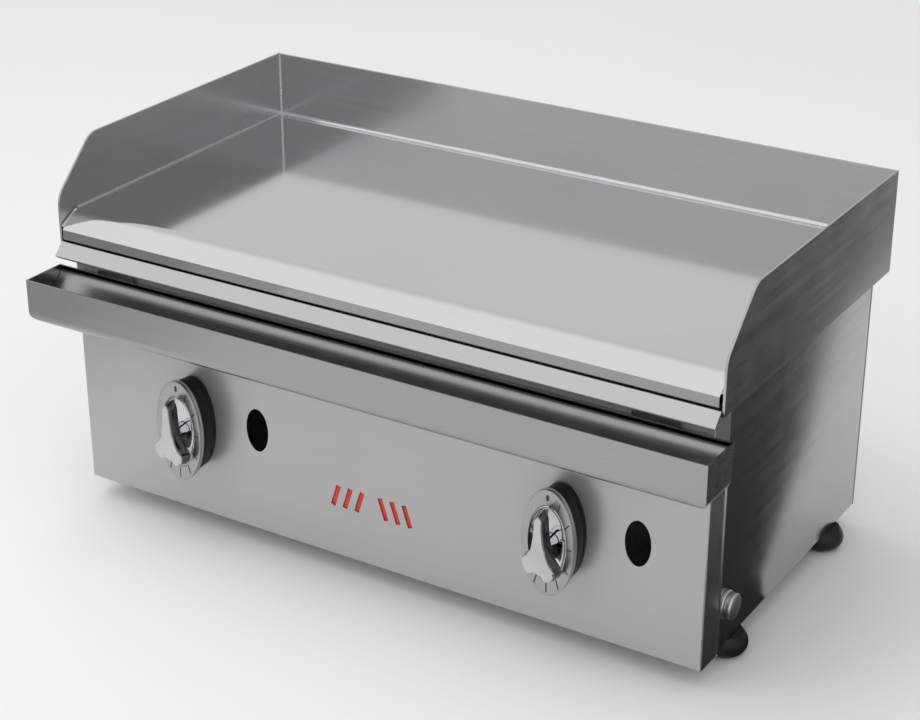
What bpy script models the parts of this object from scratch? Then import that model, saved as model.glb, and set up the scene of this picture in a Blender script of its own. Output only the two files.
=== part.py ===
"""Two-burner countertop gas griddle with a three-sided splash guard and a grease tray hung in front.

The front faces -Y and +Z is up. The origin is the middle of the footprint, on the surface the feet
stand on. Lengths are in metres.
"""

import math

import bmesh
import bpy
from mathutils import Matrix, Vector

# Overall size
HALF_WIDTH = 0.400  # outside of the splash guard
BACK_Y = 0.230  # back of the splash guard
FRONT_Y = -0.230  # front of the grease tray
TOP_Z = 0.425  # top of the splash guard
GAP = 0.0003  # between pieces that touch

# Sheet thicknesses
CASE_SHEET = 0.0012
TRAY_SHEET = 0.0015
GUARD_SHEET = 0.0025

# Cooking plate
PLATE_TOP_Z = 0.3475
PLATE_THICK = 0.012
PLATE_END_GAP = 0.003  # between the plate's ends and the side walls
PLATE_LIP_RUN = 0.0185  # how far the front lip reaches forward as it slopes down
PLATE_LIP_DROP = 0.0165
PLATE_FRONT_Y = -0.1815

# Splash guard
GUARD_SKIRT_Z = 0.311  # its lower edge, below the plate
GUARD_FRONT_Y = -0.180
GUARD_CHAMFER_RUN = 0.058
GUARD_CHAMFER_DROP = 0.057
GUARD_FLANGE = 0.011
GUARD_CORNER_RADIUS = 0.010

# Cabinet
CASE_BOTTOM_Z = 0.025
PANEL_FRONT_Y = -0.172
PANEL_HALF_WIDTH = 0.388
PANEL_TOP_Z = 0.3162
PANEL_RETURN = 0.035
SIDE_X = 0.3845  # outside of a side panel
SIDE_FLANGE = 0.015
REAR_FACE_Y = 0.2265
BEND_RADIUS = 0.002
AIR_SLOT_Y = (0.112, 0.196)

# Drip apron under the plate's lip
APRON_BACK_Y = -0.145
APRON_OUT = 0.0125
APRON_DROP = 0.0135
APRON_HEM = 0.0025
APRON_BEND = 0.0010

# Grease tray
TRAY_HALF_WIDTH = 0.409
TRAY_BACK_Y = -0.175
TRAY_BOTTOM_Z = 0.236
TRAY_TOP_Z = 0.286
TRAY_BOTTOM_RADIUS = 0.012
TRAY_TAB_X = 0.328
TRAY_TAB_WIDTH = 0.050
TRAY_TAB_RISE = 0.0055
SUPPORT_X = 0.260
SUPPORT_WIDTH = 0.040
SUPPORT_REACH = 0.046

# Controls
KNOB_X = 0.230
KNOB_Z = 0.138
KNOB_PUSH = 0.004
DIAL_HALF_WIDTH = 0.030  # the dial is an upright oval that stays still
DIAL_HALF_HEIGHT = 0.0595
DIAL_FACE = 0.0320  # from the front panel to the face of the dial ring
DIAL_RING_THICK = 0.0075
BOWL_SHARE = 0.714  # size of the bowl beside the dial's
BOWL_DEPTH = 0.0073  # below the housing's face
STEM_RADIUS = 0.0075
GRIP_REACH = 0.0205  # from the face of the dial ring to the top of the grip
SIGHT_OFFSET_X = 0.0835  # from a knob to the sight hole at its right
SIGHT_Z = 0.148
SIGHT_HALF_WIDTH = 0.0145
SIGHT_HALF_HEIGHT = 0.0255
SPINDLE_RADIUS = 0.004
SPINDLE_REACH = 0.001  # past the face of the dial ring

# Cut-out ornament
ORNAMENT_Z = 0.098
ORNAMENT_BAR = (0.006, 0.026)  # width and height of one slanted bar
ORNAMENT_PITCH = 0.0150
ORNAMENT_SLANT = math.radians(18)

# Gas train
MANIFOLD_Y = -0.117
MANIFOLD_Z = 0.074
PIPE_RADIUS = 0.01065
SADDLE_HALF_WIDTH = 0.0155
BURNER_X = 0.190
BURNER_Z = 0.222
BURNER_FRONT_Y = -0.020
BURNER_BACK_Y = 0.190

# Feet
FOOT_X = 0.374
FOOT_Y = (-0.087, 0.163)
FOOT_RADIUS = 0.024

SIDES = (("left", -1), ("right", 1))

TOWARDS_FRONT = Matrix.Rotation(math.radians(90), 4, "X")
TOWARDS_RIGHT = Matrix.Rotation(math.radians(90), 4, "Y")
TOWARDS_LEFT = Matrix.Rotation(math.radians(-90), 4, "Y")
UPRIGHT = Matrix.Identity(4)


def clear_scene():
    for obj in list(bpy.data.objects):
        bpy.data.objects.remove(obj, do_unlink=True)


def new_collection(name):
    collection = bpy.data.collections.new(name)
    bpy.context.scene.collection.children.link(collection)
    return collection


def finish_of(name, colour, roughness, metallic):
    material = bpy.data.materials.new(name)
    material.use_nodes = True
    shader = material.node_tree.nodes["Principled BSDF"]
    shader.inputs["Base Color"].default_value = (*colour, 1.0)
    shader.inputs["Roughness"].default_value = roughness
    shader.inputs["Metallic"].default_value = metallic
    return material


clear_scene()
PARTS = new_collection("flat_top_griddle")
CUTTERS = new_collection("cutters")
FINISHES = {
    "satin_steel": finish_of("satin_steel", (0.62, 0.62, 0.63), 0.35, 1.0),
    "guard_steel": finish_of("guard_steel", (0.60, 0.60, 0.61), 0.38, 1.0),
    "polished_plate": finish_of("polished_plate", (0.74, 0.74, 0.75), 0.12, 1.0),
    "chrome": finish_of("chrome", (0.80, 0.80, 0.82), 0.08, 1.0),
    "dial_metal": finish_of("dial_metal", (0.55, 0.55, 0.56), 0.30, 1.0),
    "black_plastic": finish_of("black_plastic", (0.02, 0.02, 0.02), 0.35, 0.0),
    "dark_gloss": finish_of("dark_gloss", (0.03, 0.03, 0.03), 0.10, 0.3),
    "red_enamel": finish_of("red_enamel", (0.60, 0.03, 0.02), 0.45, 0.0),
    "galvanised": finish_of("galvanised", (0.52, 0.54, 0.55), 0.45, 1.0),
    "brass": finish_of("brass", (0.72, 0.52, 0.22), 0.30, 1.0),
    "copper_tube": finish_of("copper_tube", (0.70, 0.36, 0.22), 0.30, 1.0),
    "burner_steel": finish_of("burner_steel", (0.30, 0.29, 0.28), 0.55, 1.0),
    "rubber": finish_of("rubber", (0.02, 0.02, 0.02), 0.60, 0.0),
}


def link(obj, finish=None):
    """Puts a part with its finish among the parts, or a cutter without one among the cutters."""
    if finish is None:
        CUTTERS.objects.link(obj)
        obj.hide_render = True
        obj.display_type = "WIRE"
    else:
        PARTS.objects.link(obj)
        obj.data.materials.append(FINISHES[finish])
    return obj


def object_from(name, bm, finish=None):
    mesh = bpy.data.meshes.new(name)
    bm.to_mesh(mesh)
    bm.free()
    return link(bpy.data.objects.new(name, mesh), finish)


def smooth(obj, angle=35):
    obj.data.shade_smooth()
    obj.data.set_sharp_from_angle(angle=math.radians(angle))
    return obj


def bevel(obj, width, segments=2, angle=30):
    modifier = obj.modifiers.new("edges", "BEVEL")
    modifier.width = width
    modifier.segments = segments
    modifier.limit_method = "ANGLE"
    modifier.angle_limit = math.radians(angle)
    return obj


def solidify(obj, thickness):
    modifier = obj.modifiers.new("sheet", "SOLIDIFY")
    modifier.thickness = thickness
    modifier.offset = -1
    modifier.use_even_offset = True
    return obj


def boolean(obj, other, operation="DIFFERENCE"):
    modifier = obj.modifiers.new(operation.lower(), "BOOLEAN")
    modifier.operation = operation
    modifier.object = other
    modifier.solver = "EXACT"
    return obj


def box(name, low, high, finish=None):
    bm = bmesh.new()
    size = Vector(high) - Vector(low)
    middle = (Vector(high) + Vector(low)) / 2
    bmesh.ops.create_cube(bm, size=1.0)
    bmesh.ops.scale(bm, vec=size, verts=bm.verts)
    bmesh.ops.translate(bm, vec=middle, verts=bm.verts)
    return object_from(name, bm, finish)


def cylinder(name, radius, length, centre, turn=UPRIGHT, finish=None, steps=24):
    bm = bmesh.new()
    bmesh.ops.create_cone(bm, cap_ends=True, segments=steps, radius1=radius, radius2=radius, depth=length)
    bmesh.ops.transform(bm, matrix=Matrix.Translation(centre) @ turn, verts=bm.verts)
    obj = object_from(name, bm, finish)
    return smooth(obj)


def joined(name, pieces, finish):
    """One solid from pieces that overlap. The first piece carries the others as unions."""
    first = pieces[0]
    for other in pieces[1:]:
        boolean(first, other, "UNION")
    bpy.context.view_layer.update()
    evaluated = first.evaluated_get(bpy.context.evaluated_depsgraph_get())
    mesh = bpy.data.meshes.new_from_object(evaluated)
    mesh.materials.clear()
    for piece in pieces:
        bpy.data.objects.remove(piece, do_unlink=True)
    return smooth(link(bpy.data.objects.new(name, mesh), finish))


def pan(name, low, high, open_side, sheet, radius, finish, segments=2):
    """A folded sheet: a box with one face left out. Its outside measures low to high."""
    bm = bmesh.new()
    size = Vector(high) - Vector(low)
    middle = (Vector(high) + Vector(low)) / 2
    bmesh.ops.create_cube(bm, size=1.0)
    bmesh.ops.scale(bm, vec=size, verts=bm.verts)
    bmesh.ops.translate(bm, vec=middle, verts=bm.verts)
    missing = max(bm.faces, key=lambda face: face.normal.dot(Vector(open_side)))
    bmesh.ops.delete(bm, geom=[missing], context="FACES_ONLY")
    folds = [edge for edge in bm.edges if not edge.is_boundary]
    bmesh.ops.bevel(bm, geom=folds, offset=radius, segments=segments, profile=0.5, affect="EDGES")
    obj = object_from(name, bm, finish)
    return smooth(solidify(obj, sheet))


def bent_sheet(name, section, low_x, high_x, sheet, radius, finish):
    """A sheet with a constant section of (y, z) corners, its bends rounded. Its thickness lies to the
    right of the path as seen with +X towards the viewer and +Z up."""
    bm = bmesh.new()
    start = [bm.verts.new((low_x, y, z)) for y, z in section]
    end = [bm.verts.new((high_x, y, z)) for y, z in section]
    for i in range(len(section) - 1):
        bm.faces.new((start[i], start[i + 1], end[i + 1], end[i]))
    folds = [edge for edge in bm.edges if not edge.is_boundary]
    bmesh.ops.bevel(bm, geom=folds, offset=radius, segments=3, profile=0.5, affect="EDGES")
    obj = object_from(name, bm, finish)
    return smooth(solidify(obj, sheet))


def signed_area(loop):
    total = 0.0
    for (r1, h1), (r2, h2) in zip(loop, loop[1:] + loop[:1]):
        total += r1 * h2 - r2 * h1
    return total / 2


def turned(name, profile, place, turn, finish, steps=32, ring=False):
    """A turned piece from (radius, height) points. A ring's profile is a closed loop."""
    if ring and signed_area(profile) > 0:
        profile = profile[::-1]
    bm = bmesh.new()
    verts = [bm.verts.new((r, 0.0, h)) for r, h in profile]
    last = len(verts) if ring else len(verts) - 1
    for i in range(last):
        bm.edges.new((verts[i], verts[(i + 1) % len(verts)]))
    obj = object_from(name, bm, finish)
    screw = obj.modifiers.new("turn", "SCREW")
    screw.steps = steps
    screw.render_steps = steps
    screw.use_merge_vertices = True
    screw.merge_threshold = 0.00001
    screw.use_smooth_shade = True
    obj.matrix_world = Matrix.Translation(place) @ turn
    return obj


def tube(name, route, radius, finish, steps=2):
    """A round wire or pipe along a route of corners."""
    curve = bpy.data.curves.new(name, "CURVE")
    curve.dimensions = "3D"
    curve.bevel_depth = radius
    curve.bevel_resolution = steps
    curve.use_fill_caps = True
    spline = curve.splines.new("POLY")
    spline.points.add(len(route) - 1)
    for point, place in zip(spline.points, route):
        point.co = (*place, 1.0)
    return link(bpy.data.objects.new(name, curve), finish)


def rounded_route(corners, radius, steps=5):
    """The corners of a bent pipe, with each inner corner replaced by an arc."""
    route = [Vector(corners[0])]
    for before, corner, after in zip(corners, corners[1:], corners[2:]):
        corner = Vector(corner)
        towards = (Vector(before) - corner).normalized()
        away = (Vector(after) - corner).normalized()
        start = corner + towards * radius
        end = corner + away * radius
        for i in range(steps + 1):
            t = i / steps
            route.append(start * (1 - t) ** 2 + corner * 2 * t * (1 - t) + end * t**2)
    route.append(Vector(corners[-1]))
    return route


# ---------------------------------------------------------------- cooking top


def griddle_plate():
    """A thick plate whose front lip slopes down, with a short upright front face."""
    back = BACK_Y - GUARD_SHEET - GAP
    crest = PLATE_FRONT_Y + PLATE_LIP_RUN
    lip_z = PLATE_TOP_Z - PLATE_LIP_DROP
    under_z = PLATE_TOP_Z - PLATE_THICK
    section = [
        (back, PLATE_TOP_Z),
        (crest, PLATE_TOP_Z),
        (PLATE_FRONT_Y, lip_z),
        (PLATE_FRONT_Y, lip_z - PLATE_THICK),
        (crest + PLATE_THICK / 2, under_z),
        (back, under_z),
    ]
    half = HALF_WIDTH - GUARD_SHEET - PLATE_END_GAP
    bm = bmesh.new()
    face = bm.faces.new([bm.verts.new((-half, y, z)) for y, z in section])
    swept = bmesh.ops.extrude_face_region(bm, geom=[face])["geom"]
    moved = [item for item in swept if isinstance(item, bmesh.types.BMVert)]
    bmesh.ops.translate(bm, vec=(2 * half, 0, 0), verts=moved)
    bmesh.ops.recalc_face_normals(bm, faces=bm.faces)
    return smooth(bevel(object_from("griddle_plate", bm, "polished_plate"), 0.0008))


def side_splash_wall(side, sign):
    """A flat wall with its upper front corner cut off and a flange folded in under the plate."""
    x = sign * HALF_WIDTH
    outline = [
        (BACK_Y, GUARD_SKIRT_Z),
        (BACK_Y, TOP_Z),
        (GUARD_FRONT_Y + GUARD_CHAMFER_RUN, TOP_Z),
        (GUARD_FRONT_Y, TOP_Z - GUARD_CHAMFER_DROP),
        (GUARD_FRONT_Y, GUARD_SKIRT_Z),
    ]
    bm = bmesh.new()
    corners = [bm.verts.new((x, y, z)) for y, z in outline]
    wall = bm.faces.new(corners)
    bottom = bm.edges.get((corners[-1], corners[0]))
    folded = bmesh.ops.extrude_edge_only(bm, edges=[bottom])["geom"]
    moved = [item for item in folded if isinstance(item, bmesh.types.BMVert)]
    bmesh.ops.translate(bm, vec=(-sign * GUARD_FLANGE, 0, 0), verts=moved)
    bmesh.ops.recalc_face_normals(bm, faces=bm.faces)
    wall.normal_update()
    if wall.normal.x * sign < 0:
        bmesh.ops.reverse_faces(bm, faces=bm.faces)
    bmesh.ops.bevel(
        bm, geom=corners[2:4], offset=GUARD_CORNER_RADIUS, segments=4, profile=0.5, affect="VERTICES"
    )
    return solidify(object_from(f"{side}_splash_wall", bm, "guard_steel"), GUARD_SHEET)


def rear_splash_wall():
    half = HALF_WIDTH - GUARD_SHEET - GAP
    low = (-half, BACK_Y - GUARD_SHEET, GUARD_SKIRT_Z + GUARD_SHEET + GAP)
    return bevel(box("rear_splash_wall", low, (half, BACK_Y, TOP_Z), "guard_steel"), 0.0005)


def drip_apron():
    """The folded sheet that carries fat from the plate's lip over the tray, hemmed at its edge."""
    top = PANEL_TOP_Z + GAP + CASE_SHEET
    knee = PLATE_FRONT_Y
    lip_y = knee - APRON_OUT
    lip_z = top - APRON_DROP
    section = [
        (APRON_BACK_Y, top),
        (knee, top),
        (lip_y, lip_z),
        (lip_y + APRON_HEM, lip_z - APRON_HEM),
    ]
    half = HALF_WIDTH - GUARD_SHEET - GAP
    return bent_sheet("drip_apron", section, -half, half, CASE_SHEET, APRON_BEND, "satin_steel")


# ---------------------------------------------------------------- cabinet


def sight_hole(side, sign):
    x = sign * KNOB_X + SIGHT_OFFSET_X
    cutter = cylinder(f"cut_sight_{side}", 1.0, 0.02, (0, 0, 0), TOWARDS_FRONT, steps=32)
    cutter.data.transform(Matrix.Diagonal((SIGHT_HALF_WIDTH, 1.0, SIGHT_HALF_HEIGHT, 1.0)))
    cutter.data.transform(Matrix.Translation((x, PANEL_FRONT_Y, SIGHT_Z)))
    return cutter


def ornament_bars():
    """Slanted bars that lean towards the middle from both sides."""
    width, height = ORNAMENT_BAR
    bars = []
    for place in (-3, -2, -1, 1, 2, 3):
        lean = ORNAMENT_SLANT if place < 0 else -ORNAMENT_SLANT
        bar = box(f"cut_bar_{place + 3}", (-width / 2, -0.01, -height / 2), (width / 2, 0.01, height / 2))
        where = Matrix.Translation((place * ORNAMENT_PITCH, PANEL_FRONT_Y, ORNAMENT_Z))
        bar.data.transform(where @ Matrix.Rotation(lean, 4, "Y"))
        bars.append(bar)
    return bars


def front_panel():
    low = (-PANEL_HALF_WIDTH, PANEL_FRONT_Y, CASE_BOTTOM_Z)
    high = (PANEL_HALF_WIDTH, PANEL_FRONT_Y + PANEL_RETURN, PANEL_TOP_Z)
    panel = pan("front_panel", low, high, (0, 1, 0), CASE_SHEET, BEND_RADIUS, "satin_steel")
    for side, sign in SIDES:
        boolean(panel, sight_hole(side, sign))
        where = (sign * KNOB_X, PANEL_FRONT_Y, KNOB_Z)
        boolean(panel, cylinder(f"cut_spindle_{side}", 0.007, 0.02, where, TOWARDS_FRONT))
    for bar in ornament_bars():
        boolean(panel, bar)
    return panel


def ornament_backing_plate():
    """The coloured sheet behind the panel that shows through the cut-out bars."""
    half = 4.4 * ORNAMENT_PITCH
    y = PANEL_FRONT_Y + CASE_SHEET + GAP
    rise = 0.022
    low = (-half, y, ORNAMENT_Z - rise)
    high = (half, y + 0.001, ORNAMENT_Z + rise)
    return box("ornament_backing_plate", low, high, "red_enamel")


def foot_bolt_holes(obj):
    for x in (-FOOT_X, FOOT_X):
        for y in FOOT_Y:
            name = f"cut_bolt_{obj.name}_{'l' if x < 0 else 'r'}_{'f' if y < 0 else 'b'}"
            if (obj.name.startswith("left") and x > 0) or (obj.name.startswith("right") and x < 0):
                continue
            boolean(obj, cylinder(name, 0.0035, 0.02, (x, y, CASE_BOTTOM_Z), steps=12))


def side_panel(side, sign):
    """A tray-shaped panel with flanges folded inwards and a hole for the gas pipe."""
    front = PANEL_FRONT_Y + PANEL_RETURN + GAP
    back = REAR_FACE_Y - 0.0015 - GAP
    top = PLATE_TOP_Z - PLATE_THICK - GAP
    inner = SIDE_X - SIDE_FLANGE
    low_x, high_x = sorted((sign * SIDE_X, sign * inner))
    panel = pan(
        f"{side}_side_panel",
        (low_x, front, CASE_BOTTOM_Z),
        (high_x, back, top),
        (-sign, 0, 0),
        CASE_SHEET,
        BEND_RADIUS,
        "satin_steel",
    )
    hole_at = (sign * SIDE_X, MANIFOLD_Y, MANIFOLD_Z)
    boolean(panel, cylinder(f"cut_pipe_{side}", 0.0165, 0.02, hole_at, TOWARDS_RIGHT, steps=32))
    foot_bolt_holes(panel)
    return panel


def rear_panel():
    """A flat sheet with a row of upright slots near the top, where burnt gas leaves."""
    thick = 0.0015
    low = (-SIDE_X, REAR_FACE_Y - thick, CASE_BOTTOM_Z + GAP)
    panel = box("rear_panel", low, (SIDE_X, REAR_FACE_Y, 0.333), "satin_steel")
    slots = 6
    for i in range(slots):
        x = (i - (slots - 1) / 2) * 0.110
        slot = box(f"cut_flue_{i}", (x - 0.040, 0.2, 0.266), (x + 0.040, 0.25, 0.290))
        boolean(panel, slot)
    return panel


def base_pan():
    """The floor of the cabinet, turned up all round, with slots that let air in."""
    clear = CASE_SHEET + 0.0008
    low = (-SIDE_X + clear, PANEL_FRONT_Y + PANEL_RETURN + 0.0023, CASE_BOTTOM_Z + CASE_SHEET + GAP)
    high = (SIDE_X - clear, REAR_FACE_Y - 0.0035, 0.048)
    floor = pan("base_pan", low, high, (0, 0, 1), CASE_SHEET, BEND_RADIUS, "galvanised")
    for column in range(7):
        x = (column - 3) * 0.095
        slot = box(f"cut_air_{column}", (x - 0.025, AIR_SLOT_Y[0], 0.0), (x + 0.025, AIR_SLOT_Y[1], 0.035))
        boolean(floor, slot)
    foot_bolt_holes(floor)
    return floor


def valve_heat_shield():
    """A shelf above the valves that keeps the burners' heat off them."""
    front = PANEL_FRONT_Y + PANEL_RETURN + 0.003
    back = -0.070
    shelf_z = 0.190
    section = [(front, 0.200), (front, shelf_z), (back, shelf_z), (back, 0.205)]
    half = SIDE_X - SIDE_FLANGE - 0.001
    return bent_sheet("valve_heat_shield", section, -half, half, CASE_SHEET, BEND_RADIUS, "galvanised")


def foot(name, x, y):
    """A domed rubber foot with a hole for its bolt and a flat face to stand on."""
    height = CASE_BOTTOM_Z - GAP
    flat = 0.015
    dome = []
    for i in range(5):
        angle = math.radians(90 * i / 4)
        r = flat + (FOOT_RADIUS - flat) * math.sin(angle)
        dome.append((r, 0.012 * (1 - math.cos(angle))))
    profile = [(0.0038, height), (FOOT_RADIUS * 0.8, height), (FOOT_RADIUS, height - 0.005)]
    profile += dome[::-1]
    profile += [(0.0075, 0.0), (0.0075, 0.010), (0.0038, 0.010)]
    turned(name, profile, (x, y, 0.0), UPRIGHT, "rubber", steps=20, ring=True)


def foot_bolt(name, x, y):
    """A screw whose head sits up inside the foot and whose shank goes into the base pan."""
    head_low = 0.0045
    head_high = 0.0097
    top = CASE_BOTTOM_Z + 0.009
    profile = [(0.0, top), (0.0028, top), (0.0028, head_high), (0.0062, head_high)]
    profile += [(0.0062, head_low + 0.001), (0.005, head_low), (0.0, head_low)]
    turned(name, profile, (x, y, 0.0), UPRIGHT, "chrome", steps=12)


def feet():
    for side, sign in SIDES:
        for end, y in zip(("front", "rear"), FOOT_Y):
            foot(f"{side}_{end}_foot", sign * FOOT_X, y)
            foot_bolt(f"{side}_{end}_foot_bolt", sign * FOOT_X, y)


# ---------------------------------------------------------------- grease tray


def tray_tab(side, sign):
    """A low tab that stands up from the tray's back wall, set inside the sheet it joins."""
    x = sign * TRAY_TAB_X
    half = TRAY_TAB_WIDTH / 2
    low = (x - half, TRAY_BACK_Y - 0.8 * TRAY_SHEET, TRAY_TOP_Z - TRAY_TAB_RISE)
    high = (x + half, TRAY_BACK_Y - 0.2 * TRAY_SHEET, TRAY_TOP_Z + TRAY_TAB_RISE)
    return box(f"join_{side}_tray_tab", low, high)


def grease_tray():
    """A long open trough, wider than the cabinet, with its lower edges rolled."""
    low = Vector((-TRAY_HALF_WIDTH, FRONT_Y, TRAY_BOTTOM_Z))
    high = Vector((TRAY_HALF_WIDTH, TRAY_BACK_Y, TRAY_TOP_Z))
    bm = bmesh.new()
    bmesh.ops.create_cube(bm, size=1.0)
    bmesh.ops.scale(bm, vec=high - low, verts=bm.verts)
    bmesh.ops.translate(bm, vec=(high + low) / 2, verts=bm.verts)
    lid = max(bm.faces, key=lambda face: face.normal.z)
    bmesh.ops.delete(bm, geom=[lid], context="FACES_ONLY")
    rolled = [
        edge
        for edge in bm.edges
        if not edge.is_boundary and all(vert.co.z < TRAY_BOTTOM_Z + 0.001 for vert in edge.verts)
    ]
    bmesh.ops.bevel(
        bm, geom=rolled, offset=TRAY_BOTTOM_RADIUS, segments=6, profile=0.5, affect="EDGES"
    )
    tray = smooth(solidify(object_from("grease_tray", bm, "satin_steel"), TRAY_SHEET))
    for side, sign in SIDES:
        boolean(tray, tray_tab(side, sign), "UNION")
    return tray


def tray_support(side, sign):
    """An angle bracket: its upright is fixed to the front panel and its arm lies under the tray."""
    arm_z = TRAY_BOTTOM_Z - GAP
    wall_y = PANEL_FRONT_Y - GAP - CASE_SHEET
    section = [(wall_y, arm_z + 0.024), (wall_y, arm_z), (wall_y - SUPPORT_REACH, arm_z)]
    low_x = sign * SUPPORT_X - SUPPORT_WIDTH / 2
    name = f"{side}_tray_support"
    return bent_sheet(name, section, low_x, low_x + SUPPORT_WIDTH, CASE_SHEET, 0.002, "satin_steel")


# ---------------------------------------------------------------- controls


def oval_turn(x):
    """Places a turned piece on a knob's axis, squeezed so that a radius of 1 becomes the dial's oval."""
    squeeze = Matrix.Diagonal((DIAL_HALF_WIDTH, DIAL_HALF_HEIGHT, 1.0, 1.0))
    return Matrix.Translation((x, PANEL_FRONT_Y, KNOB_Z)) @ TOWARDS_FRONT @ squeeze


def oval(name, profile, x, finish, steps=32):
    """A ring turned from (share of the dial, height) points."""
    obj = turned(name, profile, (0, 0, 0), UPRIGHT, finish, steps=steps, ring=True)
    obj.matrix_world = oval_turn(x)
    return obj


def dial_housing(side, x):
    """The black oval body, narrower at the panel, with a seat for the dial ring and a dish in its face."""
    back = GAP
    face = DIAL_FACE - DIAL_RING_THICK
    bore = 0.18
    profile = [
        (bore, face - BOWL_DEPTH),
        (BOWL_SHARE, face - BOWL_DEPTH),
        (BOWL_SHARE, face),
        (0.955, face),
        (0.965, face - 0.002),
        (0.920, back + 0.003),
        (0.900, back),
        (bore, back),
    ]
    oval(f"{side}_dial_housing", profile, x, "black_plastic")


def dial_ring(side, x):
    """The deep metal ring that overhangs the housing's face a little, with its edges eased."""
    low = DIAL_FACE - DIAL_RING_THICK + GAP
    high = DIAL_FACE
    inner = BOWL_SHARE
    ease = 0.0008
    share = 0.02
    profile = [
        (inner, high - ease),
        (inner + share, high),
        (1.0 - share, high),
        (1.0, high - ease),
        (1.0, low),
        (inner, low),
    ]
    oval(f"{side}_dial_ring", profile, x, "dial_metal", steps=40)


def dial_bowl(side, x):
    """The glossy dish inside the dial ring, with a hole that the grip's stem turns in."""
    floor = DIAL_FACE - DIAL_RING_THICK - BOWL_DEPTH + GAP
    rim = DIAL_FACE - 0.0006
    outer = BOWL_SHARE - 0.01
    hole = 0.27
    deepest = 0.0100
    inside = []
    for i in range(6):
        angle = math.radians(90 * i / 5)
        inside.append((hole + (outer - hole - 0.03) * math.sin(angle), rim - deepest * math.cos(angle)))
    profile = inside + [(outer, rim), (outer, floor), (hole, floor)]
    oval(f"{side}_dial_bowl", profile, x, "dark_gloss", steps=24)


def grip_outline():
    """Bell shape of the grip: a narrow round tip, flaring to two corners with a hollow lower edge."""
    right = [
        (0.14, 0.60),
        (0.17, 0.42),
        (0.22, 0.20),
        (0.31, 0.00),
        (0.47, -0.15),
        (0.68, -0.27),
        (0.63, -0.41),
        (0.40, -0.51),
        (0.18, -0.45),
    ]
    left = [(-u, v) for u, v in reversed(right)]
    shares = [(0.0, 0.69)] + right + left
    return [(u * DIAL_HALF_WIDTH, v * DIAL_HALF_HEIGHT) for u, v in shares]


def knob_grip(side, x):
    """The bell-shaped handle that turns over the dial, on a round stem that fits over the spindle."""
    foot_h = DIAL_FACE + KNOB_PUSH + 0.0005
    top = DIAL_FACE + GRIP_REACH
    floor = DIAL_FACE - DIAL_RING_THICK - BOWL_DEPTH
    stem_low = floor + KNOB_PUSH + 0.0005
    bm = bmesh.new()
    face = bm.faces.new([bm.verts.new((u, v, foot_h)) for u, v in grip_outline()])
    swept = bmesh.ops.extrude_face_region(bm, geom=[face])["geom"]
    raised = [item for item in swept if isinstance(item, bmesh.types.BMVert)]
    bmesh.ops.translate(bm, vec=(0, 0, top - foot_h), verts=raised)
    bmesh.ops.scale(bm, vec=(0.88, 0.94, 1.0), verts=raised)
    bmesh.ops.recalc_face_normals(bm, faces=bm.faces)
    crown = [edge for edge in bm.edges if all(vert.co.z > top - 0.001 for vert in edge.verts)]
    bmesh.ops.bevel(bm, geom=crown, offset=0.0025, segments=3, profile=0.5, affect="EDGES")
    handle = object_from("grip_handle", bm)
    length = foot_h + 0.004 - stem_low
    stem = cylinder("grip_stem", STEM_RADIUS, length, (0, 0, stem_low + length / 2))
    solid = joined(f"{side}_knob_grip", [handle, stem], "chrome")
    solid.matrix_world = Matrix.Translation((x, PANEL_FRONT_Y, KNOB_Z)) @ TOWARDS_FRONT
    bore_low = stem_low - 0.002
    bore_high = DIAL_FACE + SPINDLE_REACH + GAP
    middle = (0, 0, (bore_low + bore_high) / 2)
    bore = cylinder(f"cut_{side}_grip_bore", SPINDLE_RADIUS + GAP, bore_high - bore_low, middle)
    bore.matrix_world = solid.matrix_world
    boolean(solid, bore)


def valve_spindle(side, x):
    """The shaft that the knob pushes and turns. Its inner end enters the valve."""
    outer_end = DIAL_FACE + SPINDLE_REACH
    inner_end = -0.031
    profile = [
        (0.0, outer_end),
        (SPINDLE_RADIUS, outer_end),
        (SPINDLE_RADIUS, inner_end),
        (0.0, inner_end),
    ]
    place = (x, PANEL_FRONT_Y, KNOB_Z)
    turned(f"{side}_valve_spindle", profile, place, TOWARDS_FRONT, "galvanised", steps=16)


def valve_rotor(side, x):
    """The collar in the valve's nose that turns with the spindle and lets it slide."""
    profile = [
        (SPINDLE_RADIUS + GAP, -0.0063),
        (0.0090, -0.0063),
        (0.0090, -0.0175),
        (SPINDLE_RADIUS + GAP, -0.0175),
    ]
    place = (x, PANEL_FRONT_Y, KNOB_Z)
    turned(f"{side}_valve_rotor", profile, place, TOWARDS_FRONT, "brass", steps=20, ring=True)


def gas_valve(side, x):
    """The valve body, bored in front for the rotor and the end of the spindle."""
    nose = -0.006
    tail = -0.080
    bore = SPINDLE_RADIUS + 0.0006
    profile = [
        (0.0, -0.038),
        (bore, -0.038),
        (bore, -0.0180),
        (0.0094, -0.0180),
        (0.0094, nose),
        (0.0130, nose),
        (0.0130, nose - 0.012),
        (0.0160, nose - 0.014),
        (0.0160, tail + 0.004),
        (0.0120, tail),
        (0.0, tail),
    ]
    place = (x, PANEL_FRONT_Y, KNOB_Z)
    turned(f"{side}_gas_valve", profile, place, TOWARDS_FRONT, "brass", steps=20)


def controls():
    for side, sign in SIDES:
        x = sign * KNOB_X
        dial_housing(side, x)
        dial_ring(side, x)
        dial_bowl(side, x)
        knob_grip(side, x)
        valve_spindle(side, x)
        valve_rotor(side, x)
        gas_valve(side, x)


# ---------------------------------------------------------------- gas train


def gas_manifold():
    """The pipe along the front that feeds both valves."""
    half = SIDE_X - 0.0015
    inner = 0.0078
    profile = [(inner, half), (PIPE_RADIUS, half), (PIPE_RADIUS, -half), (inner, -half)]
    place = (0, MANIFOLD_Y, MANIFOLD_Z)
    turned("gas_manifold", profile, place, TOWARDS_RIGHT, "galvanised", steps=20, ring=True)


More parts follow.
